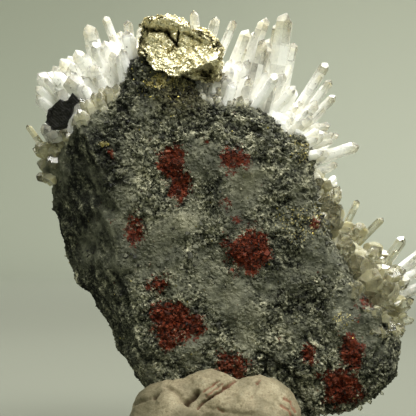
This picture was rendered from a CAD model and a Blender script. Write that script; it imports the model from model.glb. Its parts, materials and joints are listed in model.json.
"""Looks of the quartz on matrix specimen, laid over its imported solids.

The rock, the pyrite, the blade and the putty are worked up from the solids that they stand for.
The quartz repeats the rows of crystals that the solid is made from, and adds the small ones.
Places are in millimetres. Places on the front view are in pixels of the 416-pixel picture.
"""

import json
import math
import random

import bmesh
import bpy
import numpy as np
from mathutils import Matrix, Vector, noise
from mathutils.bvhtree import BVHTree
from mathutils.geometry import delaunay_2d_cdt

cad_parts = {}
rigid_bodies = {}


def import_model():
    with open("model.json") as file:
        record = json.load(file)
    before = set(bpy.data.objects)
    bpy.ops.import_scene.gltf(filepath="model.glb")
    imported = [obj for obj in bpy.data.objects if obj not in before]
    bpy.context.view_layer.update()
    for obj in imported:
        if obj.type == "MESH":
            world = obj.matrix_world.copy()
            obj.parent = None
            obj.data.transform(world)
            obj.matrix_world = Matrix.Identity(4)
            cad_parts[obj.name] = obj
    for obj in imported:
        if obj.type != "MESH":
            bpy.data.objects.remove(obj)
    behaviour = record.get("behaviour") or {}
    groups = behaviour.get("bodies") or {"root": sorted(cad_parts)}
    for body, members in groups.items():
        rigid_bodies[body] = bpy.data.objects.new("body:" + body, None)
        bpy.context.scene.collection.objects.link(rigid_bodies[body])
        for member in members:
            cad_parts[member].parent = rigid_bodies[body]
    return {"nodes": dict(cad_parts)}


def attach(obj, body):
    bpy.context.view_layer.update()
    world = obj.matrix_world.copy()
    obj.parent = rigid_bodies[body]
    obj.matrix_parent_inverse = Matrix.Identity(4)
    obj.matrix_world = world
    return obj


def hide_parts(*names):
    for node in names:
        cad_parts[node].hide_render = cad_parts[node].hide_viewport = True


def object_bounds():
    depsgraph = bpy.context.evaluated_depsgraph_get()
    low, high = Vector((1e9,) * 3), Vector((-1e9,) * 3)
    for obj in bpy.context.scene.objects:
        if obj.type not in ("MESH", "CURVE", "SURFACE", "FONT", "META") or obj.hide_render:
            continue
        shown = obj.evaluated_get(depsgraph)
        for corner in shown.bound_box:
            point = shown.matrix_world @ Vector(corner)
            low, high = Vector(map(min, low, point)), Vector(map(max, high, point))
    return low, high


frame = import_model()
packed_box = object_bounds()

MM = 0.001
BODY = "root"
GOLDEN_TURN = math.pi * (3.0 - math.sqrt(5.0))

# The front view, as the part has it.
VIEW_DISTANCE = 450.0
VIEW_AXIS = np.array((-5.4, 70.5))
VIEW_DEPTH = -8.0
EYE = (VIEW_AXIS[0], VIEW_DEPTH - VIEW_DISTANCE, VIEW_AXIS[1])
MIDDLE = np.array((0.78, -0.05, 0.0))      # taken off all places, to centre the part
PIXEL = 0.3               # millimetres at the view's depth
PICTURE_ZERO = np.array((226.0, 443.0))    # pixel at which x and z are 0
PICTURE_SIZE = 416
PICTURE_LEFT = 27         # no crystal of a band is seen left of this pixel
SENSOR = 36.0             # the camera's, in millimetres

# Quartz crust, as the part has it.
CRUST_FRONT = -6.0
CRUST_BACK = 10.0
CRUST_CENTRE = (0.0, 62.0)
CRUST_FULLNESS = 0.6
CRUST_VOXEL = 0.9
CRUST_EDGE = (
    (-55, 88), (-54.8, 94.5), (-52.4, 99), (-52.4, 106), (-49, 110), (-42, 113.6),
    (-34, 117), (-26, 119.6), (-14, 120), (-6, 117), (0, 113), (6, 108.6),
    (17.4, 104), (21.6, 101.6), (25.6, 96), (27.6, 89), (27.6, 83), (31, 75),
    (34.2, 66), (38, 60.8), (45.6, 54), (50.6, 50), (53.2, 44), (53.4, 37.5),
    (50.6, 29), (46, 20), (38, 14.4), (19, 11), (4, 11), (-11, 13.6),
    (-20, 22), (-24, 30), (-30, 40), (-36, 50), (-40, 60), (-45, 71.5),
    (-51.5, 81),
)

# The part's crystals: tip x, tip z, tip depth, root x, root z, root depth, width, milkiness.
LEFT_CRYSTALS = (
    (-59.7, 95.6, -1, -52.6, 85.6, 1, 2.4, 0.35),
    (-55.4, 95.6, -4, -49.6, 88, 0, 3.8, 0.45),
    (-53.6, 92.4, -7, -46, 90.5, 0, 4.6, 0.45),
    (-54, 103, 3, -46, 100.5, 4, 3, 0.6),
    (-54.4, 107.2, 1, -45, 103, 4, 3.4, 0.75),
    (-53.5, 111.2, -1, -43, 99, 3, 5.4, 0.75),
    (-51.8, 113.6, 3, -43, 102, 4, 5, 0.7),
    (-49.7, 115.5, 0, -40, 102, 4, 4.6, 0.75),
    (-45.3, 118.3, -2, -38, 103, 2, 4.8, 0.75),
    (-47.6, 116.4, 5, -41, 104, 5, 3.8, 0.7),
    (-42.6, 115.6, 6, -37.6, 104, 5, 3.6, 0.7),
    (-41.4, 125.8, 0, -35.8, 105, 3, 5.4, 0.65),
    (-36.4, 128.3, 3, -29.6, 110, 4, 3.2, 0.6),
    (-32, 124, 7, -28.6, 110, 6, 2.4, 0.55),
    (-29.6, 127.2, 1, -27.6, 111, 3, 3.6, 0.65),
    (-25.6, 125, 5, -26, 111, 5, 3, 0.6),
    (-47.6, 110, -6, -41, 101, 0, 3.8, 0.8),
    (-40, 113.6, -6.5, -35, 102, -1, 3.6, 0.8),
    (-34.6, 117.6, -5.5, -30.6, 106, -1, 3.4, 0.8),
)
TOP_CRYSTALS = (
    (-9.7, 130, 2, -8.2, 112, 4, 3.2, 0.55),
    (-2.8, 128.1, 4, -7, 112, 5, 3.9, 0.5),
    (2.7, 127.1, 5, -4.6, 110, 6, 3, 0.55),
    (6.6, 124.4, 1, -1.6, 103, 2, 4.2, 0.85),
    (12, 127.7, 0, 2, 101, 2, 4.6, 0.8),
    (11.6, 121.4, -4, 6, 98, 0, 4.2, 0.55),
    (18.1, 129.2, -1, 13.2, 98, 1, 6.2, 0.6),
    (20.4, 120.4, 3, 15.8, 100, 3, 3.4, 0.6),
    (-5.2, 111.6, -7.5, -6.8, 101, -2, 3.6, 0.45),
    (0.4, 110.6, -7, -1, 100, -2, 3.6, 0.6),
    (7.4, 109.6, -7, 4.6, 98.6, -2, 3.2, 0.55),
    (14.4, 108.4, -6, 11.6, 97, -2, 3, 0.55),
)
RIGHT_CRYSTALS = (
    (18.8, 105.4, 3, 16.6, 95, 4, 2.6, 0.6),
    (30.4, 114.4, 0, 19.6, 96.6, 3, 3.8, 0.6),
    (31.6, 109, 3, 20.6, 94, 4, 3, 0.55),
    (32.8, 104.3, 5, 21, 92.6, 6, 3, 0.5),
    (27.6, 101.6, -4, 20, 94, 0, 3, 0.6),
    (31.4, 95.4, -2, 18, 91.4, 1, 3.6, 0.5),
    (34, 92.5, 3, 22, 88.8, 4, 2.6, 0.44),
    (40.2, 89.2, 2, 22, 83.4, 4, 4.2, 0.48),
    (33.7, 83.8, 1, 22, 79.4, 3, 2.6, 0.44),
    (34, 77.4, -3, 27, 66, 2, 6, 0.2),
    (39.7, 73.1, 4, 32.6, 58, 5, 2.6, 0.12),
    (47.2, 67.7, 1, 34.6, 55, 4, 2.8, 0.18),
    (41, 66, -2, 34, 56, 2, 3.4, 0.2),
    (46, 58.4, -3, 37.6, 50, 1, 4.8, 0.15),
    (53.8, 62.2, 2, 43, 47, 4, 3.8, 0.22),
    (60.4, 58.3, 5, 46, 46.6, 6, 4.2, 0.46),
    (59.4, 52.6, 1, 46, 45, 3, 3.4, 0.46),
    (60.3, 47.4, -1, 47, 42.6, 2, 3.8, 0.44),
    (56.6, 43.4, 1, 48, 38.6, 3, 3, 0.18),
    (56.6, 37, 0, 48, 35.4, 3, 2.8, 0.15),
)
FOOT_CRYSTALS = (
    (40.4, 9.4, 1, 38.6, 17, 3, 2.4, 0.15),
    (43.4, 11.6, 2, 40.6, 19, 4, 2.2, 0.15),
    (34.6, 8.6, 0, 34, 15, 3, 2.2, 0.15),
)
STUB_CRYSTALS = (
    (51, 47.6, -10, 44, 41, 1, 8, 0.3),
    (46, 50.6, -12, 39.6, 45, 0, 8.6, 0.28),
    (41.6, 55.6, -10, 36.6, 50, 0, 7.6, 0.25),
    (38, 61.4, -9, 33, 55.6, 0, 6.6, 0.25),
    (34.4, 68.4, -8, 29, 63, 0, 6.4, 0.25),
    (-47.6, 109.6, -7, -42, 103, 1, 8, 0.85),
    (-51, 105.6, -6, -45, 101, 2, 6, 0.85),
)
CRYSTAL_TAPER = 0.86
TIP_ANGLE = 38.0
LARGE_FACE_LIFT = (-0.12, 0.04)
SMALL_FACE_LIFT = (0.1, 0.2)
CLEAR_BELOW = 0.41        # crystals with less milk are of the clear kind
CRUST_CLEAR = 0.8
COMPANIONS = 1            # thinner crystals that grow along each of the part's
COMPANION_WIDTH = 2.9     # the edge's thinner crystals have none
COMPANION_SEED = 1000
BAND_SEED = 21
RIM_SEED = 22
FACET_SEED = 25

# The far side: the part's large crystals, and the small ones between.
FAR_CENTRE = (-5, 72)
FAR_COUNT = 54
FAR_REACH = 27.0
FAR_LENGTHS = (7, 20)
FAR_WIDTHS = (3.4, 6.8)
FAR_EDGE = 0.84
FAR_SINK = 5.0
FAR_SPREAD = 0.75
FAR_SEED = 11
FAR_SMALL_COUNT = 900
FAR_SMALL_LENGTHS = (3, 10)
FAR_SMALL_WIDTHS = (0.9, 3)
FAR_SMALL_EDGE = 0.95

# Bands of small crystals on the front view: outline in pixels, the point that they radiate from,
# how many, their lengths and widths, how far forward they lean, their milkiness, and how much
# they are of the clear kind.
BANDS = (
    (((48, 120), (54, 104), (64, 90), (80, 76), (98, 66), (114, 60), (130, 53), (141, 47),
      (146, 56), (130, 64), (126, 84), (112, 96), (94, 112), (80, 98), (62, 110)),
     (150, 190), 58, (5.5, 10), (2.8, 5.2), (-0.2, 0.15), (0.55, 0.9), 0),
    (((200, 92), (222, 74), (240, 66), (262, 70), (276, 92), (282, 116), (262, 112), (236, 106),
      (206, 110)), (215, 190), 26, (8, 13.5), (3, 5.2), (-0.1, 0.1), (0.8, 1.1), 0),
    (((284, 104), (300, 112), (310, 128), (316, 148), (318, 170), (312, 172), (304, 146), (286, 132)),
     (230, 190), 24, (4, 8), (2, 3.6), (0, 0.4), (0.6, 0.9), 0.2),
    (((316, 178), (330, 196), (342, 218), (362, 240), (380, 254), (398, 272), (404, 296), (402, 322),
      (390, 322), (374, 306), (360, 294), (348, 270), (338, 244), (326, 222), (318, 198)),
     (270, 300), 46, (3, 6), (3.4, 7), (0.2, 1.2), (0.15, 0.4), 1),
    (((344, 258), (356, 282), (376, 302), (396, 322), (398, 336), (386, 346), (366, 330), (352, 300),
      (342, 276)), (300, 330), 16, (2.4, 4.6), (3.4, 6.4), (0.5, 1.6), (0.1, 0.35), 1),
    (((44, 150), (50, 136), (70, 122), (80, 128), (66, 150), (58, 172), (48, 186)),
     (110, 180), 30, (2.8, 4.8), (3, 6), (0.5, 1.4), (0.2, 0.5), 1),
    (((78, 112), (92, 104), (112, 92), (124, 84), (130, 92), (112, 110), (90, 126), (76, 130)),
     (120, 180), 34, (2.4, 6), (2.2, 4.4), (0.1, 0.7), (0.3, 0.6), 0.7),
    (((196, 90), (216, 84), (238, 92), (250, 104), (236, 110), (222, 112), (206, 110)),
     (212, 170), 26, (2.5, 5), (1.6, 3.2), (0.3, 1), (0.3, 0.6), 0.5),
)
RIM_BEADS = (             # small crystals that hang on the rock's lower right edge, in pixels
    (399, 335), (397, 347), (395, 358), (393, 370), (388, 383), (380, 392), (371, 399), (360, 403),
    (350, 406), (341, 409), (331, 411), (401, 326), (404, 318), (402, 308),
)

# Marks on the rock's face: x, y, half width, half height in pixels, strength.
RED_PATCHES = (
    (171, 162, 12, 15, 1.0), (180, 188, 11, 14, 1.0), (234, 161, 14, 12, 0.74),
    (135, 231, 9, 14, 0.74), (248, 252, 20, 19, 1.0), (238, 264, 10, 9, 0.62),
    (237, 219, 5, 6, 0.66), (158, 282, 12, 11, 0.56), (172, 322, 18, 18, 1.0),
    (191, 325, 14, 12, 0.9), (166, 344, 9, 10, 0.75), (233, 366, 15, 11, 0.95),
    (224, 357, 7, 6, 0.7), (310, 354, 8, 9, 0.8), (352, 352, 9, 17, 1.0),
    (342, 388, 17, 17, 1.0), (315, 224, 6, 7, 0.6), (366, 302, 10, 7, 0.62),
    (111, 153, 5, 8, 0.55), (225, 205, 7, 9, 0.55), (358, 319, 4, 4, 0.62),
    (338, 333, 4, 4, 0.6), (317, 375, 5, 5, 0.6), (303, 347, 5, 4, 0.62), (206, 142, 5, 5, 0.5),
)
SMOKY_PATCHES = (
    (54, 160, 11, 26, 1.3), (64, 134, 9, 12, 1.0), (50, 196, 6, 18, 0.9),
    (186, 223, 24, 17, 1.1), (243, 306, 36, 34, 1.0), (250, 178, 19, 22, 0.95),
    (368, 326, 15, 26, 1.1), (284, 326, 24, 18, 0.6), (205, 158, 20, 18, 0.75),
    (324, 260, 20, 22, 0.85), (114, 232, 20, 38, 0.8), (345, 292, 14, 24, 1.0),
    (172, 250, 22, 18, 0.7), (222, 334, 30, 12, 0.6), (208, 262, 22, 20, 0.6),
    (140, 262, 14, 30, 0.5), (236, 200, 22, 14, 0.6), (300, 286, 16, 16, 0.5),
)
DARK_PATCHES = (
    (98, 164, 19, 28, 1.5), (136, 76, 12, 24, 0.6), (292, 272, 26, 26, 0.4), (78, 222, 22, 34, 0.7),
    (283, 362, 26, 14, 0.5), (385, 372, 18, 30, 0.6), (120, 120, 22, 14, 0.4), (306, 300, 24, 10, 0.5),
    (186, 92, 22, 18, 0.6), (268, 122, 26, 14, 0.35), (210, 116, 16, 10, 0.5), (90, 300, 22, 50, 0.4),
    (290, 205, 16, 14, 0.4), (142, 250, 12, 20, 0.35), (238, 215, 14, 12, 0.35),
)
PALE_PATCHES = (
    (186, 222, 13, 9, 1.8), (256, 312, 14, 8, 1.2), (246, 182, 12, 14, 0.9), (232, 296, 10, 8, 0.9),
    (146, 166, 26, 24, 0.6), (158, 210, 22, 30, 0.5), (240, 128, 28, 16, 0.4),
    (250, 352, 40, 18, 0.8), (290, 392, 28, 14, 0.6), (290, 190, 22, 24, 0.4),
    (300, 360, 22, 12, 0.6), (200, 282, 26, 20, 0.35), (318, 350, 20, 22, 0.5),
)
OLIVE_PATCHES = ((180, 90, 26, 22, 1.4), (140, 100, 14, 14, 0.3), (210, 375, 60, 12, 0.3))
BRASS_PATCHES = (
    (303, 223, 28, 20, 0.9), (302, 149, 11, 14, 1.0), (342, 318, 9, 7, 1.0), (150, 76, 16, 30, 0.5),
    (156, 82, 9, 4, 5.0), (166, 77, 9, 4, 5.0), (177, 82, 18, 14, 0.7),
    (330, 222, 14, 14, 0.7), (326, 310, 22, 16, 0.35), (104, 144, 4, 2, 4.0),
)
CRUMBLY_PATCHES = ((300, 372, 90, 46, 1.0), (250, 122, 60, 24, 0.6), (385, 350, 26, 60, 1.0),
                   (150, 140, 50, 30, 0.4))
FINE_COPIES = {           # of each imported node: size of its faces in millimetres, rounds of smoothing
    "matrix": (0.34, 24), "pyrite": (0.25, 6), "sphalerite": (0.22, 2), "putty_base": (0.42, 16),
}
ROCK_FACES = 190000       # triangles
ROCK_SINK = 0.3
LOOSE_GRAINS = {          # how many, their sizes, how far out they sit in half sizes, seed
    "pale_grains": (2200, (0.4, 0.95), (-0.4, 0.3), 41),
    "dark_grains": (1400, (0.4, 1.0), (-0.4, 0.3), 42),
    "pyrite_specks": (420, (0.35, 0.9), (-0.4, 0.3), 43),
    "rim_crumbs": (620, (0.7, 2.2), (-0.1, 0.8), 44),
}
GRAIN_CORNERS = 9
GRAIN_SHAPES = 24
GRAIN_BACK = 3.0          # no loose grain lies further back
RIDGE_TOP = np.array((-38.0, 88.0))
RIDGE_FOOT = np.array((-22.0, 18.0))


# The front view.

def true_place(px, py, depth):
    """Place in millimetres of a pixel of the front view at a depth."""
    return seen_place((px - PICTURE_ZERO[0]) * PIXEL, (PICTURE_ZERO[1] - py) * PIXEL, depth)


def seen_place(x, z, depth):
    """Place that is seen at x and z of the front view, at a depth."""
    return Vector(seen_places(np.array([x]), np.array([z]), np.array([depth]))[0])


def seen_places(x, z, depth):
    """The same for arrays of x, z and depth."""
    grow = (VIEW_DISTANCE + depth - VIEW_DEPTH) / VIEW_DISTANCE
    true_x = VIEW_AXIS[0] + (x - VIEW_AXIS[0]) * grow
    true_z = VIEW_AXIS[1] + (z - VIEW_AXIS[1]) * grow
    return np.stack((true_x, depth, true_z), axis=1) - MIDDLE


def front_view(points):
    """Where points are seen on the front view, as x and z in millimetres."""
    grow = (VIEW_DISTANCE + points[:, 1] - VIEW_DEPTH) / VIEW_DISTANCE
    return VIEW_AXIS + (points[:, (0, 2)] - VIEW_AXIS) / grow[:, None]


def front_pixels(points):
    """Pixels of the front view at which points in millimetres are seen."""
    return PICTURE_ZERO + front_view(points + MIDDLE) / PIXEL * (1.0, -1.0)


def patches(pixels, rows):
    """How strongly each pixel lies in soft patches: 0 outside them, up to their strength inside."""
    total = np.zeros(len(pixels))
    for x, y, half_width, half_height, strength in rows:
        away = np.hypot((pixels[:, 0] - x) / half_width, (pixels[:, 1] - y) / half_height)
        total = np.maximum(total, strength * np.clip(1.35 - 0.75 * away, 0.0, 1.0))
    return total


# Fields of noise.

def smooth(value, low, high):
    share = np.clip((value - low) / (high - low), 0.0, 1.0)
    return share * share * (3.0 - 2.0 * share)


def swell_noise(points, size, seed):
    shifted = (points / size + np.array((seed * 1.7, seed * 3.1, seed * 0.9))).tolist()
    return np.array([noise.noise(place) for place in shifted])


def wander(points, size, seed, reach):
    """Shifts in pixels that make a drawn line or plane ragged."""
    return np.stack([swell_noise(points, size, seed + step) for step in (0, 1)], axis=1) * reach


def grain_cells(points, size, seed):
    """Nearest grain of each point: how far its middle is, how much further the next one's is, where
    its middle is, and three numbers from 0 to 1 that belong to it."""
    shift = np.array((seed * 5.3, seed * 2.9, seed * 7.7))
    near, gap, middles = [], [], []
    for place in (points / size + shift).tolist():
        distances, places = noise.voronoi(place)
        near.append(distances[0])
        gap.append(distances[1] - distances[0])
        middles.append(places[0])
    middles = np.array(middles)
    keys = np.array(((12.9, 78.2, 37.7), (39.3, 11.1, 83.1), (73.1, 52.2, 9.1)))
    lots = np.sin(middles @ keys.T) * 43758.5
    return np.array(near) * size, np.array(gap) * size, (middles - shift) * size, lots % 1.0


def facets(points, normals, size, tilt, step, seed):
    """Height that turns the surface into tilted flat grains of one size."""
    _, _, middles, lots = grain_cells(points, size, seed)
    faces = normals + (lots - 0.5) * 2.0 * tilt
    faces /= np.linalg.norm(faces, axis=1)[:, None]
    slope = np.clip((faces * normals).sum(axis=1), 0.4, 1.0)
    height = -((points - middles) * faces).sum(axis=1) / slope
    across = ((points - middles) * normals).sum(axis=1)
    return np.clip(height + across, -size * tilt, size * tilt) + (lots[:, 0] - 0.5) * step


# Shapes in general.

def read(items, key, width=1):
    """A number, or a row of numbers, of each of a mesh's points, corners or faces."""
    values = np.zeros(len(items) * width)
    items.foreach_get(key, values)
    return values if width == 1 else values.reshape(-1, width)


def points_of(mesh):
    return read(mesh.vertices, "co", 3) / MM


def normals_of(mesh):
    return read(mesh.vertex_normals, "vector", 3)


def face_middles(mesh):
    return read(mesh.polygons, "center", 3) / MM


def move_points(mesh, points):
    mesh.vertices.foreach_set("co", (points * MM).astype(np.float32).ravel())
    mesh.update()


def paint(mesh, name, values, domain="POINT"):
    layer = mesh.attributes.new(name, "FLOAT", domain)
    layer.data.foreach_set("value", np.asarray(values, dtype=np.float32))


def paint_patches(mesh, pixels, share=1.0, **marks):
    for name, rows in marks.items():
        paint(mesh, name, patches(pixels, rows) * share)


def paint_grains(mesh, size, seed):
    """One number for all faces of a grain."""
    lots = grain_cells(face_middles(mesh), size, seed)[3]
    paint(mesh, "grain", lots[:, 1], "FACE")


def new_object(name, data):
    item = bpy.data.objects.new(name, data)
    bpy.context.scene.collection.objects.link(item)
    return item


def mesh_from(name, bm):
    """A mesh of the shape that was built, which is then let go."""
    mesh = bpy.data.meshes.new(name)
    bm.to_mesh(mesh)
    bm.free()
    return mesh


def lists_of(bm):
    """Points and faces of the shape that was built, which is then let go."""
    bm.verts.index_update()
    lists = ([vertex.co.copy() for vertex in bm.verts],
             [[vertex.index for vertex in face.verts] for face in bm.faces])
    bm.free()
    return lists


def mesh_of(name, points, faces):
    mesh = bpy.data.meshes.new(name)
    mesh.from_pydata([tuple(point) for point in (np.asarray(points) * MM).tolist()], [], faces)
    mesh.update()
    return mesh


def bake(item):
    """Replaces the object's mesh with what its modifiers make of it."""
    depsgraph = bpy.context.evaluated_depsgraph_get()
    mesh = bpy.data.meshes.new_from_object(item.evaluated_get(depsgraph))
    item.modifiers.clear()
    item.data = mesh
    return item


def remesh(item, voxel):
    """Rebuilds the object in even faces of a size in millimetres."""
    even = item.modifiers.new("remesh", "REMESH")
    even.mode = "VOXEL"
    even.voxel_size = voxel * MM
    return item


def fine_copy(name, node):
    """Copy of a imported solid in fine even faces, with its large flat faces relaxed, and its mesh,
    points and normals."""
    voxel, rounds = FINE_COPIES[node]
    item = remesh(new_object(name, frame["nodes"][node].data.copy()), voxel)
    relax = item.modifiers.new("relax", "SMOOTH")
    relax.factor = 0.5
    relax.iterations = rounds
    bake(item)
    return item, item.data, points_of(item.data), normals_of(item.data)


def shade(item, smooth_faces):
    item.data.polygons.foreach_set("use_smooth", [smooth_faces] * len(item.data.polygons))


def finish_piece(item, finish, stands_for=None, smooth_faces=False):
    shade(item, smooth_faces)
    item.data.materials.clear()
    item.data.materials.append(finish)
    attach(item, BODY)
    if stands_for:
        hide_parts(stands_for)
    return item


def add_ring(bm, sizes, height):
    """A level ring of points, each at its own distance from the middle."""
    ways = [math.radians(360.0 / len(sizes) * side) for side in range(len(sizes))]
    return [bm.verts.new((size * math.cos(way), size * math.sin(way), height))
            for size, way in zip(sizes, ways)]


def join_rings(bm, rings):
    for low, high in zip(rings, rings[1:]):
        for side in range(len(low)):
            after = (side + 1) % len(low)
            bm.faces.new((low[side], low[after], high[after], high[side]))


def slice_off(bm, point, normal):
    geometry = bm.verts[:] + bm.edges[:] + bm.faces[:]
    cut = bmesh.ops.bisect_plane(bm, geom=geometry, plane_co=point, plane_no=normal, clear_outer=True)
    rim = [part for part in cut["geom_cut"] if isinstance(part, bmesh.types.BMEdge)]
    if rim:
        bmesh.ops.contextual_create(bm, geom=rim)


def edge_reach(outline, centre, angles):
    """Distance from the centre to a closed outline, in the directions of the angles."""
    spokes = np.array(outline) - np.array(centre)
    turned = np.arctan2(spokes[:, 1], spokes[:, 0])
    return np.interp(angles, turned, np.linalg.norm(spokes, axis=1), period=math.tau)


def inside(outline, x, y):
    """Whether a place is inside a closed outline."""
    crossings = 0
    for (x1, y1), (x2, y2) in zip(outline, outline[1:] + outline[:1]):
        if (y1 > y) != (y2 > y) and x < (x2 - x1) * (y - y1) / (y2 - y1) + x1:
            crossings += 1
    return crossings % 2 == 1


# The crystals.

class Crystals:
    """Six-sided crystals that are grown one by one, and joined with their crust in one body."""

    def __init__(self):
        self.shapes = []
        self.rows = []

    def grow(self, root, tip, width, rng, milk, clear, steps=0, spin=None, lifts=None):
        """Adds one crystal with stepped sides and six uneven tip faces. Milk and clear say how
        cloudy it is, and how much it is of the clear kind."""
        way = tip - root
        length = way.length
        radius = width / 2.0
        corners = [rng.uniform(0.94, 1.06) for _ in range(6)]
        heights = sorted(rng.uniform(0.12, 0.9) * length for _ in range(steps))
        bm = bmesh.new()
        rings = []
        for number, height in enumerate([0.0] + heights + [length * 1.25]):
            share = min(1.0, height / length)
            size = radius * (1.0 + (CRYSTAL_TAPER - 1.0) * share)
            sizes = [size] if number in (0, len(heights) + 1) else [size * 1.015, size * 0.975]
            for ring_size in sizes:
                rings.append(add_ring(bm, [ring_size * corner for corner in corners], height))
        join_rings(bm, rings)
        bm.faces.new(rings[0][::-1])
        bm.faces.new(rings[-1])
        rise = math.radians(TIP_ANGLE)
        for side in range(6):
            angle = math.radians(60.0 * side + 30.0)
            normal = Vector((math.cos(angle) * math.cos(rise), math.sin(angle) * math.cos(rise),
                             math.sin(rise)))
            if lifts:
                lift = lifts[side] * width
            else:
                lift = rng.uniform(*(SMALL_FACE_LIFT if side % 2 else LARGE_FACE_LIFT)) * width
            slice_off(bm, (0.0, 0.0, length + lift), normal)
        turn = way.to_track_quat("Z", "Y").to_matrix().to_4x4()
        spin = rng.uniform(0.0, math.tau) if spin is None else spin
        place = Matrix.Translation(root) @ turn @ Matrix.Rotation(spin, 4, "Z")
        points, faces = lists_of(bm)
        self.shapes.append(([tuple(place @ point) for point in points], faces))
        self.rows.append((*root, *(way / length), length, milk, clear, rng.uniform(0.0, 100.0)))

    def join(self, crust):
        """Joins all crystals and the crust in one skin, and gives each corner its crystal's numbers:
        reach from root to tip, length along it in millimetres, milk and clear."""
        lots = random.Random(FACET_SEED)
        paint(crust.data, "crystal", [-1] * len(crust.data.polygons), "FACE")
        paint(crust.data, "facet", [0.5] * len(crust.data.polygons), "FACE")
        gathered = bpy.data.collections.new("crystals")
        bpy.context.scene.collection.children.link(gathered)
        for number, (points, faces) in enumerate(self.shapes):
            mesh = mesh_of("crystal", points, faces)
            paint(mesh, "crystal", [number] * len(faces), "FACE")
            paint(mesh, "facet", [lots.random() for _ in faces], "FACE")
            gathered.objects.link(bpy.data.objects.new("crystal", mesh))
        union = crust.modifiers.new("union", "BOOLEAN")
        union.operation = "UNION"
        union.solver = "MANIFOLD"
        union.operand_type = "COLLECTION"
        union.collection = gathered
        bake(crust)
        for item in list(gathered.objects):
            bpy.data.objects.remove(item)
        bpy.data.collections.remove(gathered)
        self.number_corners(crust.data)
        return crust

    def number_corners(self, mesh):
        corners = read(mesh.polygons, "loop_total").astype(int)
        own = np.repeat(np.round(read(mesh.attributes["crystal"].data, "value")).astype(int), corners)
        places = points_of(mesh)[read(mesh.loops, "vertex_index").astype(int)]
        rows = np.array(self.rows)[own]
        along = ((places - rows[:, 0:3]) * rows[:, 3:6]).sum(axis=1)
        on_crust = own < 0
        clear = smooth(front_pixels(places)[:, 0], 300.0, 330.0) * CRUST_CLEAR
        paint(mesh, "reach", np.where(on_crust, 0.0, along / rows[:, 6]), "CORNER")
        paint(mesh, "along", np.where(on_crust, places[:, 2], along + rows[:, 9]), "CORNER")
        paint(mesh, "milk", np.where(on_crust, 1.0 - 0.6 * clear, rows[:, 7]), "CORNER")
        paint(mesh, "clear", np.where(on_crust, clear, rows[:, 8]), "CORNER")
        mesh.attributes.remove(mesh.attributes["crystal"])


def stray(rng, reach):
    """A random shift of up to a reach along each axis."""
    return Vector([rng.uniform(-reach, reach) for _ in range(3)])


def in_box(point):
    low, high = packed_box
    return all(low[axis] < point[axis] * MM < high[axis] for axis in range(3))


def part_crystal(crystals, root, tip, width, seed, milk, clear, companions):
    """One of the part's crystals, at the part's size and turn, with companions along it."""
    same = random.Random(seed)
    lifts = [same.uniform(*(SMALL_FACE_LIFT if side % 2 else LARGE_FACE_LIFT)) for side in range(6)]
    spin = same.uniform(0.0, math.tau)
    rng = random.Random(seed + COMPANION_SEED)
    crystals.grow(root, tip, width, rng, milk, clear, steps=rng.randint(3, 6), spin=spin, lifts=lifts)
    way = (tip - root).normalized()
    side = way.orthogonal().normalized()
    for _ in range(companions):
        around = Matrix.Rotation(rng.uniform(0.0, math.tau), 3, way)
        shift = around @ side * width * rng.uniform(0.22, 0.36)
        reach = rng.uniform(0.55, 0.93)
        end = root + (tip - root) * reach + shift
        if in_box(end):
            crystals.grow(root + shift * 0.8, end, width * rng.uniform(0.5, 0.78), rng,
                          milk * rng.uniform(0.8, 1.2), clear, steps=rng.randint(1, 3))


def grow_edge_crystals(crystals):
    """The part's crystals that the front view shows."""
    rows = LEFT_CRYSTALS + TOP_CRYSTALS + RIGHT_CRYSTALS + FOOT_CRYSTALS + STUB_CRYSTALS
    for number, row in enumerate(rows):
        tip, root = seen_place(*row[0:3]), seen_place(*row[3:6])
        width, milk = row[6:8]
        part_crystal(crystals, root, tip, width, number, milk, float(milk < CLEAR_BELOW),
                     COMPANIONS if width > COMPANION_WIDTH else 0)


def far_spot(number, count):
    """One of a count of even spots on the far side: the way there from the centre, how far it lies
    toward the edge, from 0 to 1, and how far off the edge is."""
    angle = (number * GOLDEN_TURN) % math.tau - math.pi
    out = Vector((math.cos(angle), 0.0, math.sin(angle)))
    return out, math.sqrt((number + 0.5) / count), float(edge_reach(CRUST_EDGE, FAR_CENTRE, angle))


def grow_far_crystals(crystals):
    """The far side: the part's large crystals, and small ones between them."""
    rng = random.Random(FAR_SEED)
    shift = Vector(MIDDLE)
    for number in range(FAR_COUNT):
        out, share, rim = far_spot(number, FAR_COUNT)
        reach = share * FAR_EDGE * rim
        root = Vector((FAR_CENTRE[0], CRUST_BACK - FAR_SINK, FAR_CENTRE[1])) + out * reach
        wobble = Vector((rng.uniform(-0.25, 0.25), 0.0, rng.uniform(-0.25, 0.25)))
        way = (Vector((0.0, 1.0, 0.0)) + out * FAR_SPREAD * reach / rim + wobble).normalized()
        length = min(rng.uniform(*FAR_LENGTHS) + FAR_SINK, (FAR_REACH - root.y) / way.y)
        width = rng.uniform(*FAR_WIDTHS)
        part_crystal(crystals, root - shift, root + way * length - shift, width, FAR_SEED + number,
                     0.8 + 0.2 * (number % 3), 0.4 * (number % 2), COMPANIONS)
    rng = random.Random(FAR_SEED + 1)
    for number in range(FAR_SMALL_COUNT):
        out, share, rim = far_spot(number, FAR_SMALL_COUNT)
        sink = 3.0 + 5.0 * share ** 6
        root = Vector((FAR_CENTRE[0], CRUST_BACK - sink, FAR_CENTRE[1]))
        root += out * share * FAR_SMALL_EDGE * rim
        way = (Vector((0.0, 1.0, 0.0)) + out * share * 0.8 + stray(rng, 0.45)).normalized()
        tip = root + way * (rng.uniform(*FAR_SMALL_LENGTHS) + sink * 0.6)
        width = rng.uniform(*FAR_SMALL_WIDTHS)
        if in_box(tip):
            crystals.grow(root - shift, tip - shift, width, rng, rng.uniform(0.8, 1.3),
                          rng.random() * 0.4, steps=rng.randint(0, 1))


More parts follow.
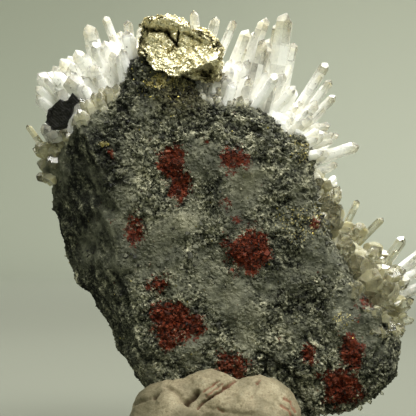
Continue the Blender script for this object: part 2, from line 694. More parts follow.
def grow_bands(crystals, carriers, kept_free):
    """Small crystals of the bands that the front view shows between the rock and the long ones."""
    rng = random.Random(BAND_SEED)
    eye = Vector(EYE) - Vector(MIDDLE)
    for outline, (from_x, from_y), count, lengths, widths, leans, milks, clear in BANDS:
        xs, ys = zip(*outline)
        made = 0
        while made < count:
            px, py = rng.uniform(min(xs), max(xs)), rng.uniform(min(ys), max(ys))
            if not inside(outline, px, py):
                continue
            made += 1
            sight = (true_place(px, py, 0.0) - eye).normalized()
            hits = [hit.y for hit in (carrier.ray_cast(eye, sight)[0] for carrier in carriers) if hit]
            depth = min(hits) if hits else rng.uniform(-1.0, 3.0)
            width = rng.uniform(*widths)
            out = true_place(px, py, 0.0) - true_place(from_x, from_y, 0.0)
            out = out.normalized() - Vector((0.0, rng.uniform(*leans), 0.0))
            out += stray(rng, 0.2)
            root = true_place(px, py, depth + 2.0)
            tip = root + out.normalized() * rng.uniform(*lengths)
            over = front_pixels(np.array([tip]))[0]
            covers = any(tree.ray_cast(eye, (tip - eye).normalized())[0] for tree in kept_free)
            if covers or not in_box(tip) or over[0] < PICTURE_LEFT:
                continue
            crystals.grow(root, tip, width, rng, rng.uniform(*milks), clear, steps=rng.randint(0, 2))


def grow_rim_beads(crystals):
    """Tiny crystals that hang on the rock's lower right edge."""
    rng = random.Random(RIM_SEED)
    for px, py in RIM_BEADS:
        for _ in range(3):
            root = true_place(px - 5 + rng.uniform(-4, 3), py - 4 + rng.uniform(-4, 3),
                              rng.uniform(-6, 3))
            out = true_place(px, py, 0.0) - true_place(330, 330, 0.0)
            out = out.normalized() + stray(rng, 0.5)
            tip = root + out.normalized() * rng.uniform(2.0, 3.4)
            crystals.grow(root, tip, rng.uniform(0.9, 2.0), rng, rng.uniform(0.1, 0.3), 1.0)


def make_crust():
    """The quartz that all crystals grow from, broken into blunt faces."""
    bm = bmesh.new()
    bmesh.ops.create_icosphere(bm, subdivisions=7, radius=1.0)
    mesh = mesh_from("quartz", bm)
    ways = points_of(mesh) * MM
    ways /= np.linalg.norm(ways, axis=1)[:, None]
    angles = np.arctan2(ways[:, 2], ways[:, 0])
    across = np.hypot(ways[:, 0], ways[:, 2]) ** CRUST_FULLNESS
    half = (CRUST_BACK - CRUST_FRONT) / 2.0
    depth = CRUST_FRONT + half + half * np.copysign(np.abs(ways[:, 1]) ** CRUST_FULLNESS, ways[:, 1])
    reach = edge_reach(CRUST_EDGE, CRUST_CENTRE, angles) * across
    move_points(mesh, seen_places(CRUST_CENTRE[0] + reach * np.cos(angles),
                                  CRUST_CENTRE[1] + reach * np.sin(angles), depth))
    item = new_object("quartz", mesh)
    bake(remesh(item, CRUST_VOXEL))
    points, normals = points_of(item.data), normals_of(item.data)
    large = facets(points, normals, 4.2, 0.5, 1.0, 3)
    small = facets(points, normals, 1.9, 0.5, 0.5, 5)
    lump = swell_noise(points, 8.0, 6) * 1.6
    move_points(item.data, points + normals * (lump + large * 0.8 + small * 0.6 - 0.3)[:, None])
    return item


def make_quartz(finish, rock, kept_free):
    crust = make_crust()
    crystals = Crystals()
    grow_edge_crystals(crystals)
    grow_far_crystals(crystals)
    grow_bands(crystals, (tree_of(crust), tree_of(rock)), [tree_of(item) for item in kept_free])
    grow_rim_beads(crystals)
    quartz = crystals.join(crust)
    return finish_piece(quartz, finish, "quartz_cluster")


# The rock.

def flank_share(points):
    """How far each point lies on the flank that turns away, from 0 to 1."""
    x, z = (front_view(points) - RIDGE_FOOT).T
    along = RIDGE_TOP - RIDGE_FOOT
    along /= np.linalg.norm(along)
    return smooth(x * -along[1] + z * along[0], -2.0, 5.0)


def thin_out(item, faces, hidden=None):
    """Joins small faces, only those of hidden points if they are given, until about the given
    number of triangles is left."""
    thin = item.modifiers.new("thin", "DECIMATE")
    thin.ratio = faces / sum(len(face.vertices) - 2 for face in item.data.polygons)
    if hidden is not None:
        group = item.vertex_groups.new(name="hidden")
        group.add(np.flatnonzero(hidden).tolist(), 1.0, "REPLACE")
        thin.vertex_group = "hidden"
    bake(item)
    item.vertex_groups.clear()


def make_rock(finish):
    item, _, points, normals = fine_copy("rock", "matrix")
    spokes = points[:, (0, 2)] - np.array(CRUST_CENTRE)
    rim = edge_reach(CRUST_EDGE, CRUST_CENTRE, np.arctan2(spokes[:, 1], spokes[:, 0]))
    thin_out(item, ROCK_FACES, (normals[:, 1] > 0.3) & (np.linalg.norm(spokes, axis=1) < 0.9 * rim))
    mesh = item.data
    points, normals = points_of(mesh), normals_of(mesh)
    pixels = front_pixels(points)
    haze = swell_noise(points, 10.0, 51) * 0.9 + swell_noise(points, 4.0, 52) * 0.6
    smoky = np.clip(patches(pixels, SMOKY_PATCHES) * 0.85 + haze, 0.0, 1.0)
    crumbly = patches(pixels, CRUMBLY_PATCHES)
    flank = flank_share(points)
    coarse = (1.0 - 0.8 * smoky) * (1.0 - 0.7 * flank)
    bent = points + swell_noise(points, 2.6, 8)[:, None] * 1.4
    _, gap, _, _ = grain_cells(bent, 4.6, 2)
    crevice = 1.0 - smooth(gap, 0.0, 1.3)
    large = facets(bent, normals, 1.9, 0.6, 0.5, 4)
    small = facets(points, normals, 0.9, 0.7, 0.45, 7)
    slant = points @ np.array(((0.9, 0.0, 0.28), (0.0, 1.0, 0.0), (0.44, 0.0, -0.15)))
    streak = swell_noise(slant, 1.7, 12)
    swell = swell_noise(points, 9.0, 1) * 0.7
    crumb = swell_noise(points, 3.4, 2) * 0.5 + swell_noise(points, 1.5, 22) * 0.5 * coarse
    crumb += coarse * (0.35 * large + 0.9 * small) + (1.0 - coarse) * 0.15 * small + flank * streak * 0.4
    broken = smooth(swell_noise(points, 5.0, 61), -0.1, 0.35)
    crumb -= crevice * (0.12 + 1.2 * crumbly * broken) * coarse
    height = swell + crumb - ROCK_SINK
    move_points(mesh, points + normals * height[:, None])
    paint(mesh, "deep", smooth(-crumb, -0.15, 0.75))
    paint(mesh, "smoky", smoky)
    paint(mesh, "dark", np.clip(patches(pixels, DARK_PATCHES) + 0.5 * flank, 0.0, 1.0))
    paint_patches(mesh, pixels, pale=PALE_PATCHES, red=RED_PATCHES, olive=OLIVE_PATCHES,
                  brass=BRASS_PATCHES)
    paint(mesh, "streak", streak * flank)
    thin_out(item, ROCK_FACES)
    mesh = item.data
    paint_grains(mesh, 0.9, 7)
    return finish_piece(item, finish, "matrix")


def shard(rng):
    """One small broken grain of unit size: the hull of a few corners."""
    bm = bmesh.new()
    for _ in range(GRAIN_CORNERS):
        way = Vector([rng.gauss(0.0, 1.0) for _ in range(3)]).normalized()
        bm.verts.new(way * rng.uniform(0.8, 1.1))
    hull = bmesh.ops.convex_hull(bm, input=bm.verts[:])
    bmesh.ops.delete(bm, geom=hull["geom_interior"], context="VERTS")
    points, faces = lists_of(bm)
    return np.array(points), faces


def scatter_grains(name, rock, chance, finish):
    """Strews grains over the rock. Chance gives how likely a grain lies at each pixel and normal."""
    count, sizes, lifts, seed = LOOSE_GRAINS[name]
    rng = random.Random(seed)
    shapes = [shard(rng) for _ in range(GRAIN_SHAPES)]
    mesh = rock.data
    middles = face_middles(mesh)
    normals = read(mesh.polygons, "normal", 3)
    keep = np.maximum(chance(front_pixels(middles), normals), 0.0) * read(mesh.polygons, "area")
    keep *= middles[:, 1] < GRAIN_BACK
    picker = np.random.default_rng(seed)
    picked = picker.choice(len(middles), size=count, replace=False, p=keep / keep.sum())
    points, all_faces, tones = [], [], []
    for index in picked:
        shape, shape_faces = shapes[rng.randrange(len(shapes))]
        turn = Vector([rng.gauss(0.0, 1.0) for _ in range(3)]).to_track_quat("Z", "Y").to_matrix()
        size = rng.uniform(*sizes) / 2.0
        stretch = np.diag([rng.uniform(0.7, 1.3) for _ in range(3)])
        body = shape @ stretch @ np.array(turn) * size
        place = middles[index] + normals[index] * size * rng.uniform(*lifts)
        first = len(points)
        points.extend((body + place).tolist())
        all_faces.extend([[first + corner for corner in face] for face in shape_faces])
        tones.extend([rng.random()] * len(shape))
    made = mesh_of(name, points, all_faces)
    paint(made, "grain", tones)
    points = np.array(points)
    pixels = front_pixels(points)
    paint_patches(made, pixels, red=RED_PATCHES)
    paint(made, "dark", np.clip(patches(pixels, DARK_PATCHES) + 0.5 * flank_share(points), 0.0, 1.0))
    return finish_piece(new_object(name, made), finish)


# The pyrite, the blade and the putty.

def line_share(pixels, line, width):
    """How close pixels lie to a broken line, from 0 to 1 on it."""
    best = np.full(len(pixels), 1e9)
    for start, end in zip(line, line[1:]):
        start, end = np.array(start, float), np.array(end, float)
        way = end - start
        share = np.clip(((pixels - start) @ way) / (way @ way), 0.0, 1.0)
        best = np.minimum(best, np.linalg.norm(pixels - (start + share[:, None] * way), axis=1))
    return np.exp(-(best / width) ** 2)


# The pyrite's front in broken planes: x and y in pixels, depth in millimetres.
PYRITE_FRONT = (
    (138, 20, -14.5), (145, 22, -15.6), (156, 17, -15.8), (169, 21, -15.5), (182, 24, -15.0),
    (147, 29, -12.4), (159, 29, -12.0), (169, 30, -12.4), (176, 30, -14.4), (187, 30, -14.8),
    (150, 34, -13.0), (158, 38, -14.4), (150, 48, -13.6), (160, 50, -15.0), (150, 62, -15.2),
    (165, 66, -15.0), (154, 78, -15.4), (165, 80, -15.8), (168, 40, -13.6), (173, 35, -14.2),
    (176, 43, -13.6), (178, 36, -13.4), (168, 52, -13.4), (185, 36, -14.0), (180, 50, -14.0),
    (196, 33, -14.4), (208, 40, -13.2), (219, 45, -10.5), (196, 44, -12.6), (190, 55, -14.4),
    (207, 52, -13.6), (224, 56, -12.6), (180, 74, -16.0), (189, 70, -16.0), (198, 66, -16.2),
    (210, 62, -15.8), (219, 59, -14.8), (170, 86, -13.2), (185, 80, -12.6), (199, 74, -12.2),
    (203, 69, -12.6),
    (208, 73, -10.4), (214, 69, -12.8), (217, 78, -12.6), (214, 86, -12.4), (196, 86, -11.8),
    (176, 92, -12.0), (160, 92, -13.0), (222, 84, -10.0), (134, 44, -10.0), (138, 70, -10.0),
    (226, 40, -8.0),
)
PYRITE_CRACKS = (         # line in pixels, width in pixels, depth in millimetres
    (((146, 29), (158, 30), (168, 31)), 1.6, 1.2),
    (((167, 30), (171, 37), (176, 43), (177, 46)), 1.3, 2.6),
    (((179, 30), (178, 37), (176, 43)), 1.1, 1.8),
    (((183, 33), (192, 36), (201, 41)), 1.0, 1.0),
    (((168, 53), (173, 46), (176, 43)), 0.9, 1.0),
    (((164, 88), (176, 80), (190, 74), (200, 71)), 1.4, 1.2),
    (((202, 69), (206, 76), (213, 81)), 1.3, 1.2),
)


def plane_depths(pixels, rows):
    """Depths at pixels of a front that is flat between the rows' points."""
    corners = [Vector((x, y)) for x, y, _ in rows]
    made = delaunay_2d_cdt(corners, [], [], 0, 0.001)
    depths = np.full(len(pixels), np.nan)
    for triangle in made[2]:
        (x1, y1, d1), (x2, y2, d2), (x3, y3, d3) = (rows[made[3][corner][0]] for corner in triangle)
        area = (x2 - x1) * (y3 - y1) - (x3 - x1) * (y2 - y1)
        second = ((pixels[:, 0] - x1) * (y3 - y1) - (x3 - x1) * (pixels[:, 1] - y1)) / area
        third = ((x2 - x1) * (pixels[:, 1] - y1) - (pixels[:, 0] - x1) * (y2 - y1)) / area
        within = (second >= 0.0) & (third >= 0.0) & (second + third <= 1.0)
        depths[within] = (d1 + (d2 - d1) * second + (d3 - d1) * third)[within]
    return depths


def make_pyrite(finish):
    item, mesh, points, normals = fine_copy("pyrite_lump", "pyrite")
    pixels = front_pixels(points)
    shifts = wander(points, 1.6, 41, 2.4)
    target = plane_depths(pixels + shifts, PYRITE_FRONT)
    front = smooth(-normals[:, 1], 0.05, 0.45) * np.isfinite(target)
    sunk = (np.nan_to_num(target) - points[:, 1]) * front
    large = facets(points, normals, 3.4, 0.5, 0.9, 3)
    middle = facets(points, normals, 1.4, 0.6, 0.4, 6)
    small = facets(points, normals, 0.65, 0.7, 0.25, 9)
    height = (0.55 - 0.2 * front) * large + 0.55 * middle + 0.6 * small - 0.1
    cracks = np.zeros(len(points))
    for line, width, depth in PYRITE_CRACKS:
        cracks = np.maximum(cracks, line_share(pixels + shifts * 0.5, line, width) * depth)
    moved = points + normals * height[:, None]
    moved[:, 1] += sunk + cracks * front
    moved[:, 2] = np.minimum(moved[:, 2], packed_box[1].z / MM - 0.05)
    move_points(mesh, moved)
    level = np.nan_to_num(target, nan=-13.0) * front
    deep = smooth(level + 13.3, 0.2, 2.4) + smooth(cracks, 0.3, 1.6)
    paint(mesh, "deep", np.clip(deep, 0.0, 1.0) * front)
    paint_grains(mesh, 0.65, 9)
    return finish_piece(item, finish, "pyrite")


def make_blade(finish):
    item, mesh, points, normals = fine_copy("sphalerite_blade", "sphalerite")
    large = facets(points, normals, 2.6, 0.22, 0.3, 5)
    small = facets(points, normals, 1.0, 0.3, 0.2, 8)
    move_points(mesh, points + normals * (0.6 * large + 0.5 * small - 0.1)[:, None])
    return finish_piece(item, finish, "sphalerite")


DULL_PUTTY = ((141, 404, 17, 22, 1.0), (230, 420, 60, 9, 0.8), (196, 400, 12, 10, 0.5))
PALE_PUTTY = ((264, 392, 24, 20, 1.0), (222, 374, 20, 10, 0.8), (210, 390, 12, 10, 0.9))
DRY_PUTTY = ((210, 390, 20, 14, 1.0), (164, 396, 24, 16, 0.5), (280, 402, 14, 14, 0.7))
PUTTY_CREASES = (         # line in pixels, width in pixels, depth in millimetres, redness
    (((240, 376), (232, 382), (222, 391), (212, 397), (203, 403), (199, 409)), 1.5, 1.5, 0.9),
    (((187, 403), (192, 399), (197, 393)), 2.6, 3.2, 0.5),
    (((204, 402), (209, 399), (214, 396)), 1.5, 2.2, 0.8),
    (((203, 392), (211, 386), (220, 381)), 1.2, 0.6, 0.8),
    (((206, 397), (214, 390), (224, 384)), 1.2, 0.6, 0.8),
    (((153, 397), (157, 394)), 1.6, 1.6, 0.2),
    (((257, 383), (259, 381)), 1.7, 1.4, 0.9),
    (((258, 384), (255, 392), (251, 398)), 1.3, 0.5, 0.5),
    (((166, 386), (174, 391), (182, 399), (187, 404)), 3.0, 1.0, 0.3),
    (((133, 405), (142, 401), (152, 397), (160, 391)), 2.0, 0.8, 0.1),
    (((284, 398), (291, 402), (296, 412)), 1.5, 0.6, 0.9),
    (((281, 404), (289, 410), (292, 418)), 1.4, 0.5, 0.8),
    (((200, 405), (214, 410), (232, 413), (252, 414)), 3.0, 0.4, 0.2),
    (((218, 408), (224, 412)), 1.4, 0.6, 0.7),
)


def make_putty(finish):
    item, mesh, points, normals = fine_copy("putty_lump", "putty_base")
    pixels = front_pixels(points)
    front = smooth(-normals[:, 1] + normals[:, 2] * 0.4, 0.0, 0.5) * (points[:, 1] < -4.0)
    shifts = wander(points, 2.5, 31, 1.6) + wander(points, 0.9, 33, 0.9)
    crease = np.zeros(len(points))
    red = np.zeros(len(points))
    for line, width, depth, redness in PUTTY_CREASES:
        crease += line_share(pixels + shifts, line, width * 0.8) * depth
        red = np.maximum(red, line_share(pixels + shifts, line, width * 1.3) * redness)
    dry = patches(pixels, DRY_PUTTY) * front
    chips = facets(points + shifts[:, :1] * 0.3, normals, 1.7, 0.5, 0.4, 35)
    height = swell_noise(points, 7.0, 3) * 0.5 + swell_noise(points, 2.6, 4) * 0.25
    height += swell_noise(points, 1.0, 5) * 0.12 + chips * (0.08 + 0.45 * dry)
    near, _, _, lots = grain_cells(points, 2.4, 9)
    height -= (1.0 - smooth(near, 0.15, 0.5)) * (lots[:, 0] > 0.72) * 0.45    # pits
    moved = points + normals * height[:, None] - normals * (crease * front)[:, None]
    low, high = packed_box
    moved = np.clip(moved, np.array(low) / MM + 0.02, np.array(high) / MM - 0.02)
    move_points(mesh, moved)
    paint(mesh, "red", red * front)
    paint(mesh, "deep", smooth(crease, 0.2, 2.0) * front)
    paint_patches(mesh, pixels, front, dull=DULL_PUTTY, pale=PALE_PUTTY)
    return finish_piece(item, finish, "putty_base", smooth_faces=True)


# The finishes.

class Wire:
    """One value of a finish, so that its maths reads as plain sums and products."""

    def __init__(self, finish, socket):
        self.finish = finish
        self.socket = socket

    def maths(self, operation, *ends):
        return self.finish.node("ShaderNodeMath", {"operation": operation}, dict(enumerate(ends)))

    def __add__(self, other):
        return self.maths("ADD", self, other)

    def __sub__(self, other):
        return self.maths("SUBTRACT", self, other)

    def __rsub__(self, other):
        return self.maths("SUBTRACT", other, self)

    def __mul__(self, other):
        return self.maths("MULTIPLY", self, other)

    __radd__ = __add__
    __rmul__ = __mul__

    def above(self, low, high):
        """0 below low, 1 above high, and smooth between."""
        return self.finish.node("ShaderNodeMapRange", {"interpolation_type": "SMOOTHSTEP"},
                                {"Value": self, "From Min": low, "From Max": high})

    def held(self):
        """No less than 0 and no more than 1."""
        return self.finish.node("ShaderNodeClamp", {}, {"Value": self})


class Finish:
    """A material in the making."""

    def __init__(self, name):
        self.material = bpy.data.materials.new(name)
        self.material.use_nodes = True
        self.tree = self.material.node_tree
        self.tree.nodes.clear()
        self.end = self.tree.nodes.new("ShaderNodeOutputMaterial")

    def node(self, kind, settings, inputs, output=0):
        made = self.tree.nodes.new(kind)
        for name, value in settings.items():
            setattr(made, name, value)
        for key, value in inputs.items():
            if isinstance(value, Wire):
                self.tree.links.new(value.socket, made.inputs[key])
            else:
                made.inputs[key].default_value = value
        return Wire(self, made.outputs[output])

    def spot(self):
        """Place on the piece, in metres."""
        return self.node("ShaderNodeTexCoord", {}, {}, "Object")

    def place(self):
        """Place on the piece, in millimetres."""
        return self.node("ShaderNodeVectorMath", {"operation": "SCALE"},
                         {0: self.spot(), "Scale": 1.0 / MM})

    def layer(self, name):
        return self.node("ShaderNodeAttribute", {"attribute_name": name}, {}, "Fac")

    def cloud(self, place, size, detail=3.0, roughness=0.55):
        return self.node("ShaderNodeTexNoise", {},
                         {"Vector": place, "Scale": 1.0 / size, "Detail": detail,
                          "Roughness": roughness})

    def cells(self, place, size):
        """A number from 0 to 1 for each grain of a size."""
        colour = self.node("ShaderNodeTexVoronoi", {}, {"Vector": place, "Scale": 1.0 / size}, "Color")
        return self.node("ShaderNodeSeparateColor", {}, {"Color": colour})

    def ramp(self, value, stops):
        """A colour by value. Each stop is a place from 0 to 1 and three screen values."""
        made = self.node("ShaderNodeValToRGB", {}, {"Fac": value})
        ramp = made.socket.node.color_ramp
        while len(ramp.elements) < len(stops):
            ramp.elements.new(1.0)
        for element, (place, *colour) in zip(ramp.elements, stops):
            element.position = place
            element.color = tint(colour)
        return made

    def mix(self, share, first, second):
        """A blend of two colours, each a wire or three screen values."""
        first, second = (end if isinstance(end, Wire) else tint(end) for end in (first, second))
        return self.node("ShaderNodeMix", {"data_type": "RGBA"}, {0: share, 6: first, 7: second}, 2)

    def bump(self, height, strength, distance):
        return self.node("ShaderNodeBump", {}, {"Height": height, "Strength": strength,
                                                "Distance": distance * MM})

    def surface(self, **inputs):
        return self.node("ShaderNodeBsdfPrincipled", {},
                         {name.replace("_", " "): value for name, value in inputs.items()})

    def done(self, surface, volume=None):
        self.tree.links.new(surface.socket, self.end.inputs["Surface"])
        if volume:
            self.tree.links.new(volume.socket, self.end.inputs["Volume"])
        return self.material


def tint(screen_values):
    """A colour from its screen values for red, green and blue, 0 to 255."""
    parts = []
    for value in screen_values:
        value /= 255.0
        parts.append(value / 12.92 if value <= 0.04045 else ((value + 0.055) / 1.055) ** 2.4)
    return (*parts, 1.0)


def rock_stone(rock, tone):
    """Salt and pepper colour by tone."""
    return rock.ramp(tone, ((0.0, 15, 16, 13), (0.25, 42, 44, 36), (0.5, 84, 85, 71),
                            (0.75, 134, 133, 114), (1.0, 198, 194, 168)))


def stained(rock, place, tone, colour):
    """The colour under ragged stains of dark orange red."""
    stain = rock.ramp(tone, ((0.28, 20, 9, 4), (0.44, 60, 17, 5),
                             (0.64, 106, 34, 7), (0.95, 142, 58, 20)))
    ragged = (rock.cloud(place, 3.4, 3.0) - 0.5) * 1.5 + (rock.cloud(place, 0.8, 3.0, 0.7) - 0.5) * 1.5
    return rock.mix((rock.layer("red") + ragged).above(0.38, 0.6) * 0.95, colour, stain)


def rock_finish():
    rock = Finish("grey_rock")
    place = rock.place()
    grain = rock.layer("grain")
    smoky = rock.layer("smoky")
    fine = rock.cells(place, 0.38)
    chips = rock.cells(place, 0.62)
    broad = rock.cloud(place, 3.6, 4.0, 0.6)
    medium = rock.cloud(place, 1.3, 4.0, 0.7)
    speckle = rock.cloud(place, 0.55, 3.0, 0.75)
    salt = (grain - 0.5) * 0.34 + (chips - 0.5) * 0.34 + (fine - 0.5) * 0.2 + (speckle - 0.5) * 0.8
    tone = salt * (1.0 - smoky * 0.5) + (broad - 0.5) * 1.2 + (medium - 0.5) * 0.9 + 0.62
    tone = tone - rock.layer("deep") * 0.36 - rock.layer("dark") * 0.34 + rock.layer("pale") * 0.14
    tone = (tone + rock.layer("streak") * 0.4).held()
    colour = rock_stone(rock, tone)
    veil = rock.ramp(rock.cloud(place, 2.4, 4.0),
                     ((0.3, 56, 58, 49), (0.5, 88, 89, 76), (0.7, 136, 136, 119)))
    veil = rock.mix(rock.layer("pale") * 0.4, veil, (158, 155, 132))
    veiled = (smoky + (medium - 0.5) * 0.9 + (speckle - 0.5) * 0.5).above(0.1, 0.95)
    colour = rock.mix(veiled * 0.75, colour, veil)
    colour = stained(rock, place, salt * (1.0 - veiled * 0.6) * 0.6 + medium * 0.9 + 0.06, colour)
    colour = rock.mix((rock.layer("olive") * 0.5).above(0.0, 1.0), colour,
                      rock.ramp(tone, ((0.1, 28, 26, 16), (0.9, 122, 116, 82))))
    brass = (rock.layer("brass") * 0.3 + fine).above(1.12, 1.16)
    colour = rock.mix(brass * 0.9, colour, (184, 173, 124))
    rough = 0.86 - grain.above(0.85, 0.9) * 0.3 - veiled * 0.2
    relief = fine * 0.4 + speckle + chips * 0.4
    return rock.done(rock.surface(Base_Color=colour, Roughness=rough.held(), Metallic=brass * 0.35,
                                  Specular_IOR_Level=0.2, Normal=rock.bump(relief, 0.5, 0.3)))


def grain_finish(name, low, high, roughness):
    """Loose grains of the rock, each of its own tone between two colours."""
    rock = Finish(name)
    place = rock.place()
    mottle = rock.cloud(place, 0.6, 3.0)
    clumps = rock.cloud(place, 3.6, 4.0, 0.6)
    tone = rock.layer("grain") * 0.7 + mottle * 0.5 + (clumps - 0.5) * 0.9
    tone = (tone - rock.layer("dark") * 0.5 - 0.08).held()
    stone = rock.ramp(tone, ((0.0, *low), (1.0, *high)))
    colour = stained(rock, place, tone, stone)
    return rock.done(rock.surface(Base_Color=colour, Roughness=(mottle * 0.3 + roughness).held(),
                                  Normal=rock.bump(mottle, 0.3, 0.2)))


def speck_finish():
    brass = Finish("pyrite_specks")
    mottle = brass.cloud(brass.place(), 0.5, 3.0)
    colour = brass.ramp(mottle, ((0.3, 112, 102, 50), (0.7, 190, 176, 104)))
    return brass.done(brass.surface(Base_Color=colour, Metallic=0.9, Roughness=mottle * 0.3 + 0.2))


QUARTZ_IOR = 1.544
QUARTZ_DEPTHS = {"Color": (0.95, 0.935, 0.84, 1.0), "Density": 64.0}


def quartz_finish():
    """Clear quartz with milky roots, cloudy veils and fine lines across its sides."""
    quartz = Finish("quartz")
    place = quartz.place()
    reach = quartz.layer("reach")
    milk = quartz.layer("milk")
    clear = quartz.layer("clear")
    along = quartz.node("ShaderNodeCombineXYZ", {}, {"Z": quartz.layer("along")})
    lines = quartz.cloud(along, 0.28, 3.0, 0.7)
    veil = quartz.cloud(place, 2.2, 5.0, 0.62)
    wisps = quartz.cloud(place, 0.7, 3.0)
    facet = quartz.layer("facet") - 0.5
    cloudy = milk * (1.35 - reach.above(0.3, 1.0) * 0.9) + (veil - 0.5) * 0.6 + (wisps - 0.5) * 0.15
    cloudy = (cloudy + facet * 0.4 + (lines - 0.5) * 0.15 + 0.08).above(0.0, 1.0)
    tip = (reach + (veil - 0.5) * 0.3).above(0.72, 1.02)
    specks = quartz.cells(place, 0.5).above(0.985, 0.99) * wisps.above(0.5, 0.6)
    tips = quartz.mix(clear, (236, 228, 206), (222, 215, 186))
    roots = quartz.mix(clear, (251, 249, 241), (190, 184, 150))
    murk = quartz.mix(clear, (234, 230, 214), (144, 137, 100))
    milky_colour = quartz.mix(tip, roots, tips)
    milky_colour = quartz.mix(veil.above(0.5, 0.75) * 0.35, milky_colour, murk)
    milky_colour = quartz.mix(specks * 0.7, milky_colour, (96, 90, 66))
    facing = quartz.bump(lines * 0.7 + wisps * 0.3, 0.22, 0.12)
    glassy = quartz.surface(Base_Color=quartz.mix(tip, (252, 252, 248), tips),
                            Roughness=(wisps * 0.12).held(), IOR=QUARTZ_IOR,
                            Transmission_Weight=1.0, Normal=facing)
    milky = quartz.surface(Base_Color=milky_colour, Roughness=0.16 + wisps * 0.2, IOR=QUARTZ_IOR,
                           Subsurface_Weight=1.0, Subsurface_Radius=(1.0, 1.0, 1.0),
                           Subsurface_Scale=0.0035, Normal=facing)
    surface = quartz.node("ShaderNodeMixShader", {}, {0: cloudy, 1: glassy, 2: milky})
    return quartz.done(surface, quartz.node("ShaderNodeVolumeAbsorption", {}, QUARTZ_DEPTHS))


def pyrite_finish():
    pyrite = Finish("pyrite")
    place = pyrite.place()
    deep = pyrite.layer("deep")
    fine = pyrite.cells(place, 0.4)
    mottle = pyrite.cloud(place, 2.0, 4.0, 0.65)
    tone = pyrite.layer("grain") * 0.4 + fine * 0.2 + mottle * 0.7 - deep * 0.5 - 0.1
    colour = pyrite.ramp(tone.held(), ((0.02, 44, 40, 24), (0.22, 136, 128, 92),
                                       (0.45, 212, 203, 164), (0.75, 250, 244, 216)))
    rust = pyrite.cloud(place, 1.4, 4.0, 0.7).above(0.64, 0.72)
    colour = pyrite.mix(rust * 0.4, colour, (110, 84, 48))
    rough = 0.24 + mottle * 0.3 + deep * 0.3
    return pyrite.done(pyrite.surface(Base_Color=colour, Metallic=0.9 - rust * 0.5 - deep * 0.35,
                                      Roughness=rough.held(),
                                      Normal=pyrite.bump(fine + mottle, 0.4, 0.25)))


def blade_finish():
    blade = Finish("sphalerite")
    place = blade.place()
    mottle = blade.cloud(place, 1.2, 4.0)
    colour = blade.ramp(mottle, ((0.3, 6, 6, 4), (0.7, 20, 18, 11)))
    lines = blade.node("ShaderNodeTexWave", {"bands_direction": "DIAGONAL"},
                       {"Vector": place, "Scale": 0.6, "Distortion": 4.0, "Detail": 3.0}, "Fac")
    return blade.done(blade.surface(Base_Color=colour, Roughness=(mottle * 0.4 + 0.24).held(),
                                    Specular_IOR_Level=0.25,
                                    Normal=blade.bump(lines + mottle, 0.25, 0.2)))


def putty_finish():
    putty = Finish("putty")
    place = putty.place()
    broad = putty.cloud(place, 7.0, 3.0)
    mottle = putty.cloud(place, 1.6, 5.0, 0.65)
    dots = putty.cells(place, 0.4)
    flecks = putty.cloud(place, 0.6, 3.0, 0.7)
    tone = (broad * 0.6 + mottle * 0.6 + flecks * 0.5 + putty.layer("pale") * 0.08 - 0.38).held()
    colour = putty.ramp(tone, ((0.25, 112, 101, 78), (0.5, 154, 142, 114),
                               (0.8, 190, 180, 152)))
    grey = (putty.cloud(place, 4.5, 4.0) + mottle * 0.3).above(0.62, 0.8)
    colour = putty.mix((putty.layer("dull") + (mottle - 0.5) * 0.4) * 0.75, colour, (98, 92, 68))
    colour = putty.mix(grey * 0.45, colour, (108, 102, 78))
    red = (putty.layer("red") + (mottle - 0.5) * 1.1 + (flecks - 0.5) * 0.7).above(0.42, 0.8)
    colour = putty.mix(red * 0.6, colour, (138, 72, 48))
    colour = putty.mix(putty.layer("deep") * 0.6, colour, (76, 52, 34))
    colour = putty.mix(dots.above(0.9, 0.94) * 0.35, colour, (92, 80, 54))
    relief = mottle + flecks * 0.8
    return putty.done(putty.surface(Base_Color=colour, Roughness=0.82 - mottle * 0.15,
                                    Normal=putty.bump(relief, 0.5, 0.4)))


# The studio.

FLOOR_REACH = 1.1         # metres of level floor around the specimen
BOWL_REACH = 1.7
WALL_HEIGHT = 1.9
WALL_SIDES = 64
CURVE_STEPS = 12
LAMP_TARGET = Vector((0.0, 0.0, 0.07))
AIR_COLOUR = (0.88, 0.90, 0.84, 1.0)
AIR_STRENGTH = 1.1


def make_studio():
    """A pale floor that curves up into a pale wall all round."""
    profile = [(0.01, 0.0), (0.3, 0.0), (0.7, 0.0), (FLOOR_REACH, 0.0)]
    curve = BOWL_REACH - FLOOR_REACH
    for step in range(1, CURVE_STEPS + 1):
        angle = math.pi / 2.0 * step / CURVE_STEPS
        profile.append((FLOOR_REACH + curve * math.sin(angle), curve * (1.0 - math.cos(angle))))
    profile.append((BOWL_REACH, WALL_HEIGHT))
    bm = bmesh.new()
    rings = [add_ring(bm, [reach] * WALL_SIDES, height) for reach, height in profile]
    bm.faces.new(rings[0])
    join_rings(bm, rings[::-1])
    item = new_object("studio", mesh_from("studio", bm))
    shade(item, True)
    paper = Finish("pale_paper")
    spot = paper.spot()
    sideways = paper.node("ShaderNodeSeparateXYZ", {}, {"Vector": spot}, "X")
    outward = paper.node("ShaderNodeVectorMath", {"operation": "LENGTH"}, {0: spot}, "Value")
    wall = paper.mix(sideways.above(-0.35, 0.3), (173, 177, 162), (204, 207, 193))
    colour = paper.mix(outward.above(0.4, 1.75), (102, 104, 94), wall)
    item.data.materials.append(paper.done(paper.surface(Base_Color=colour, Roughness=0.95,
                                                        Specular_IOR_Level=0.1)))


def add_lamp(name, place, power, size, colour):
    data = bpy.data.lights.new(name, "AREA")
    data.shape = "DISK"
    data.size = size
    data.energy = power
    data.color = colour
    lamp = new_object(name, data)
    lamp.location = place
    lamp.rotation_euler = (LAMP_TARGET - Vector(place)).to_track_quat("-Z", "Y").to_euler()
    lamp.visible_camera = False


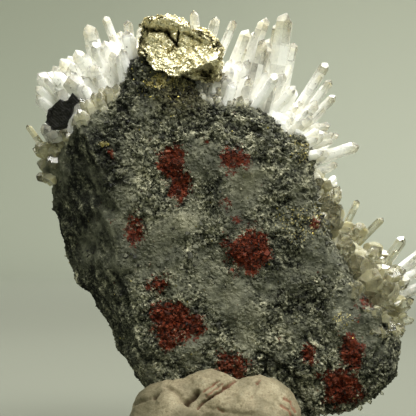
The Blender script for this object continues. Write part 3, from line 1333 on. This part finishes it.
def add_lights():
    add_lamp("front_top", (0.24, -0.40, 0.82), 8.0, 0.5, (1.0, 0.99, 0.95))
    add_lamp("back_top", (0.08, 0.26, 0.92), 18.5, 0.6, (1.0, 1.0, 0.97))
    world = bpy.data.worlds.new("studio_air")
    world.use_nodes = True
    air = world.node_tree.nodes["Background"].inputs
    air["Color"].default_value = AIR_COLOUR
    air["Strength"].default_value = AIR_STRENGTH
    bpy.context.scene.world = world


def add_camera():
    data = bpy.data.cameras.new("camera")
    data.sensor_width = SENSOR
    data.lens = SENSOR * VIEW_DISTANCE / (PICTURE_SIZE * PIXEL)
    camera = new_object("camera", data)
    camera.location = Vector(EYE) * MM - Vector(MIDDLE) * MM
    camera.rotation_euler = (math.pi / 2.0, 0.0, 0.0)
    data.clip_start = 0.01
    bpy.context.scene.camera = camera


def tree_of(item):
    return BVHTree.FromPolygons([tuple(point) for point in points_of(item.data)],
                                [list(face.vertices) for face in item.data.polygons])


def main():
    rock = make_rock(rock_finish())
    pale = grain_finish("pale_grains", (58, 59, 50), (172, 169, 146), 0.6)
    dark = grain_finish("dark_grains", (10, 10, 8), (52, 52, 43), 0.5)
    crumbs = grain_finish("rim_crumbs", (14, 15, 12), (118, 118, 100), 0.6)
    scatter_grains("pale_grains", rock, lambda pixels, _: 1.05 - 0.9 * patches(pixels, SMOKY_PATCHES)
                   - 0.55 * patches(pixels, DARK_PATCHES) + 0.4 * patches(pixels, PALE_PATCHES),
                   pale)
    scatter_grains("dark_grains", rock, lambda pixels, _: 0.5 - 0.42 * patches(pixels, SMOKY_PATCHES)
                   + 0.6 * patches(pixels, DARK_PATCHES), dark)
    scatter_grains("pyrite_specks", rock, lambda pixels, _: 0.02 + patches(pixels, BRASS_PATCHES),
                   speck_finish())
    scatter_grains("rim_crumbs", rock,
                   lambda pixels, normals: (normals[:, 2] + 0.7 * normals[:, 0] > 0.3)
                   * (np.abs(normals[:, 1]) < 0.85) * (pixels[:, 1] < 330.0), crumbs)
    pyrite = make_pyrite(pyrite_finish())
    blade = make_blade(blade_finish())
    make_putty(putty_finish())
    make_quartz(quartz_finish(), rock, (blade, pyrite))
    make_studio()
    add_lights()
    add_camera()
    bpy.context.scene.view_settings.view_transform = "Standard"


main()
